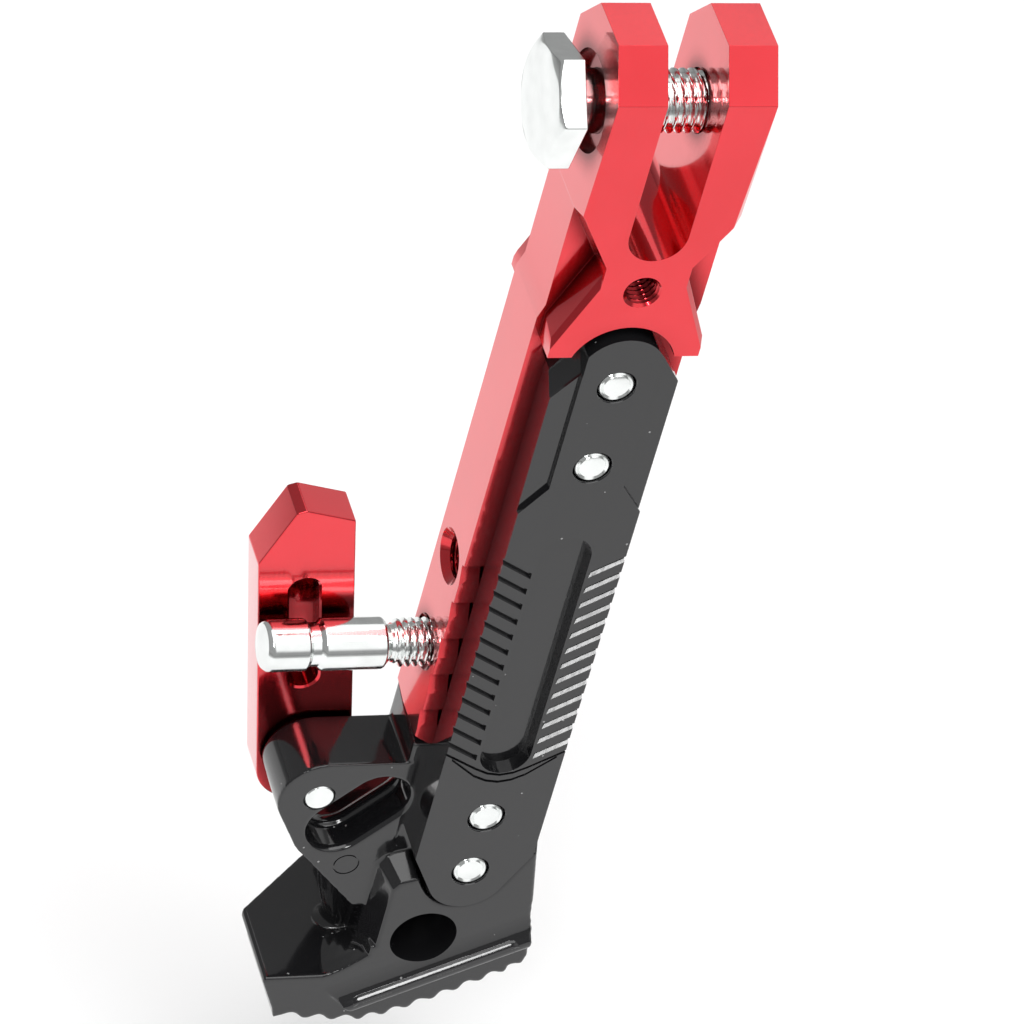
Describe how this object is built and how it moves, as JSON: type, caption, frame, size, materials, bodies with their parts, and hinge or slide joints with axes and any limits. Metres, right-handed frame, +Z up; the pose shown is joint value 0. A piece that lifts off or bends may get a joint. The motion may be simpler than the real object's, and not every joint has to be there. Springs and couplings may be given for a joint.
{
  "type": "adjustable motorcycle kickstand",
  "caption": "Side stand with a clevis top, a sliding serrated foot under a ribbed clamping cover, a folding kick lever and a grooved spring post.",
  "frame": {"origin": "on the pivot bolt's axis, midway between the two ears of the clevis", "axes": "+X along the pivot bolt away from its head, +Z up the leg away from the foot, -Y out of the face that carries the ribbed cover"},
  "size_m": [0.0584, 0.0328, 0.2067],
  "materials": {
    "anodised_red": "glossy bright red anodising",
    "gloss_black": "glossy black coating",
    "bright_steel": "polished plating",
    "zinc_steel": "satin zinc plating"
  },
  "bodies": {
    "leg": {"upper_leg": "anodised_red"},
    "foot": {"front_cover": "gloss_black", "foot_casting": "gloss_black", "rear_clamp_plate": "zinc_steel", "clamp_screw_upper": "bright_steel", "clamp_screw_lower": "bright_steel", "clamp_washer_upper": "zinc_steel", "clamp_washer_lower": "zinc_steel", "foot_screw_upper": "bright_steel", "foot_screw_lower": "bright_steel", "foot_washer_upper": "zinc_steel", "foot_washer_lower": "zinc_steel", "lever_pin": "bright_steel", "lever_friction_washer": "zinc_steel", "lever_back_washer": "zinc_steel", "lever_clip": "zinc_steel"},
    "lever": {"kick_lever": "anodised_red"},
    "bolt": {"pivot_bolt": "bright_steel"},
    "post": {"spring_post": "bright_steel"}
  },
  "joints": [
    {"name": "length_slide", "type": "slide", "parent": "leg", "child": "foot", "axis": [0, 0, -1], "range_m": [0, 0.032]},
    {"name": "lever_fold", "type": "hinge", "parent": "foot", "child": "lever", "pos_m": [-0.027, 0.0095, -0.1433], "axis": [0, -1, 0], "range_deg": [-11, 79]},
    {"name": "pivot_bolt_screw", "type": "slide", "parent": "leg", "child": "bolt", "axis": [1, 0, 0], "range_m": [0, 0.0033]},
    {"name": "spring_post_screw", "type": "slide", "parent": "leg", "child": "post", "axis": [1, 0, 0], "range_m": [0, 0.005]}
  ]
}
